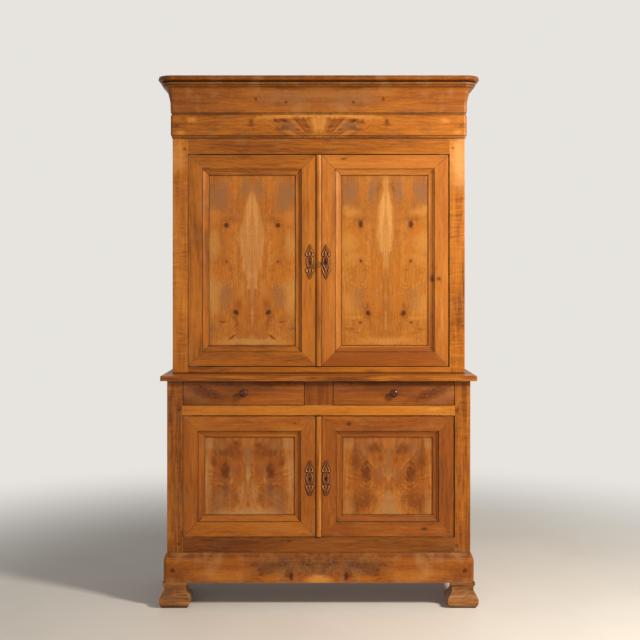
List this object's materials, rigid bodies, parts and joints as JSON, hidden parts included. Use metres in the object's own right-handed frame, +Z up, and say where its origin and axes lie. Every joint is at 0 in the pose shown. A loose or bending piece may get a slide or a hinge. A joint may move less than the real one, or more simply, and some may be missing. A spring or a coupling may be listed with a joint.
{
  "type": "two-part cupboard",
  "caption": "Tall wooden cupboard made of an upper and a lower case, with panelled doors, drawers under a ledge, a moulded crown and plinth, and shaped block feet.",
  "frame": {"origin": "bottom centre of the overall box, on the floor", "axes": "+Z up, -Y out of the front, +X to the right as seen from the front"},
  "size_m": [1.474, 0.59, 2.4],
  "materials": {
    "astragal_wood": "satin, upright grain",
    "back_wood": "matt, plain unpolished boards",
    "crown_wood": "satin, horizontal figure with small knots",
    "divider_wood": "satin, upright grain",
    "drawer_front_wood": "satin, slanting figure towards the outer ends",
    "escutcheon_brass": "cast, dulled in the hollows",
    "fitting_steel": "plain, darkened",
    "foot_wood": "satin, scuffed low down",
    "frieze_wood": "satin, bookmatched crotch figure in the middle",
    "inner_wood": "matt, plain unpolished boards",
    "key_steel": "filed bright, worn at the bow",
    "knob_wood": "turned, dark stained and polished",
    "ledge_wood": "satin, worn along the front edge",
    "lower_left_panel_wood": "satin, bookmatched figure with a pair of eyes",
    "lower_left_rail_wood": "satin, mitred frame",
    "lower_left_stile_wood": "satin, mitred frame",
    "lower_right_panel_wood": "satin, bookmatched figure with a pair of eyes",
    "lower_right_rail_wood": "satin, mitred frame",
    "lower_right_stile_wood": "satin, mitred frame",
    "plinth_wood": "satin, dark burl in the middle",
    "post_wood": "satin, fine upright grain with cross ripple",
    "rail_wood": "satin, horizontal grain",
    "side_panel_wood": "satin, upright grain",
    "side_wood": "satin, upright and horizontal grain",
    "upper_left_panel_wood": "satin, bookmatched flame figure with small knots",
    "upper_left_rail_wood": "satin, mitred frame",
    "upper_left_stile_wood": "satin, mitred frame",
    "upper_right_panel_wood": "satin, bookmatched flame figure with small knots",
    "upper_right_rail_wood": "satin, mitred frame",
    "upper_right_stile_wood": "satin, mitred frame"
  },
  "bodies": {
    "case": {"front_feet": "foot_wood", "plinth_boards": "plinth_wood", "lower_front_posts": "post_wood", "lower_rear_posts": "side_wood", "lower_side_rails": "side_wood", "lower_side_panels": "side_panel_wood", "lower_front_rails": "rail_wood", "drawer_divider": "divider_wood", "drawer_runners": "inner_wood", "lower_shelves": "inner_wood", "lower_back": "back_wood", "ledge": "ledge_wood", "upper_front_posts": "post_wood", "upper_rear_posts": "side_wood", "upper_side_rails": "side_wood", "upper_side_panels": "side_panel_wood", "upper_front_rails": "rail_wood", "upper_shelves": "inner_wood", "upper_shelf_battens": "inner_wood", "upper_back": "back_wood", "upper_ceiling": "inner_wood", "frieze_boards": "frieze_wood", "crown_moulding": "crown_wood", "cornice_frame": "back_wood", "upper_frame_pivots": "fitting_steel", "lower_shelf_battens": "inner_wood", "lower_frame_pivots": "fitting_steel"},
    "upper_left_door": {"upper_left_door_stiles": "upper_left_stile_wood", "upper_left_door_rails": "upper_left_rail_wood", "upper_left_door_panel": "upper_left_panel_wood", "upper_left_door_fittings": "fitting_steel", "upper_left_escutcheon": "escutcheon_brass"},
    "upper_right_door": {"upper_right_door_stiles": "upper_right_stile_wood", "upper_right_door_rails": "upper_right_rail_wood", "upper_right_door_panel": "upper_right_panel_wood", "upper_right_door_fittings": "fitting_steel", "upper_right_escutcheon": "escutcheon_brass", "upper_astragal": "astragal_wood", "upper_lock_case": "fitting_steel"},
    "lower_left_door": {"lower_left_door_stiles": "lower_left_stile_wood", "lower_left_door_rails": "lower_left_rail_wood", "lower_left_door_panel": "lower_left_panel_wood", "lower_left_door_fittings": "fitting_steel", "lower_left_escutcheon": "escutcheon_brass"},
    "lower_right_door": {"lower_right_door_stiles": "lower_right_stile_wood", "lower_right_door_rails": "lower_right_rail_wood", "lower_right_door_panel": "lower_right_panel_wood", "lower_right_door_fittings": "fitting_steel", "lower_right_escutcheon": "escutcheon_brass", "lower_astragal": "astragal_wood", "lower_lock_case": "fitting_steel"},
    "left_drawer": {"left_drawer_front": "drawer_front_wood", "left_drawer_box": "inner_wood"},
    "right_drawer": {"right_drawer_front": "drawer_front_wood", "right_drawer_box": "inner_wood"},
    "key": {"key": "key_steel"},
    "upper_bolt": {"upper_lock_bolt": "fitting_steel"},
    "lower_bolt": {"lower_lock_bolt": "fitting_steel"},
    "upper_latch": {"upper_latch": "fitting_steel"},
    "lower_latch": {"lower_latch": "fitting_steel"}
  },
  "joints": [
    {"name": "upper_left_door_hinge", "type": "hinge", "parent": "case", "child": "upper_left_door", "pos_m": [-0.5915, -0.144, 1.072], "axis": [0, 0, -1], "range_deg": [0, 110]},
    {"name": "upper_right_door_hinge", "type": "hinge", "parent": "case", "child": "upper_right_door", "pos_m": [0.588, -0.144, 1.072], "axis": [0, 0, 1], "range_deg": [0, 110]},
    {"name": "lower_left_door_hinge", "type": "hinge", "parent": "case", "child": "lower_left_door", "pos_m": [-0.6015, -0.259, 0.314], "axis": [0, 0, -1], "range_deg": [0, 110]},
    {"name": "lower_right_door_hinge", "type": "hinge", "parent": "case", "child": "lower_right_door", "pos_m": [0.598, -0.259, 0.314], "axis": [0, 0, 1], "range_deg": [0, 110]},
    {"name": "left_drawer_slide", "type": "slide", "parent": "case", "child": "left_drawer", "axis": [0, -1, 0], "range_m": [0, 0.38]},
    {"name": "right_drawer_slide", "type": "slide", "parent": "case", "child": "right_drawer", "axis": [0, -1, 0], "range_m": [0, 0.38]},
    {"name": "key_turn", "type": "hinge", "parent": "upper_right_door", "child": "key", "pos_m": [0.033, -0.118, 1.553], "axis": [0, 1, 0], "range_deg": [0, 360]},
    {"name": "upper_bolt_slide", "type": "slide", "parent": "upper_right_door", "child": "upper_bolt", "axis": [-1, 0, 0], "range_m": [0, 0.0121]},
    {"name": "lower_bolt_slide", "type": "slide", "parent": "lower_right_door", "child": "lower_bolt", "axis": [-1, 0, 0], "range_m": [0, 0.012]},
    {"name": "upper_latch_slide", "type": "slide", "parent": "upper_left_door", "child": "upper_latch", "axis": [0, 0, 1], "range_m": [0, 0.018]},
    {"name": "lower_latch_slide", "type": "slide", "parent": "lower_left_door", "child": "lower_latch", "axis": [0, 0, 1], "range_m": [0, 0.018]}
  ],
  "couplings": [
    {"joint": "upper_bolt_slide", "follows": "key_turn", "m_per_rad": 0.0019098}
  ]
}
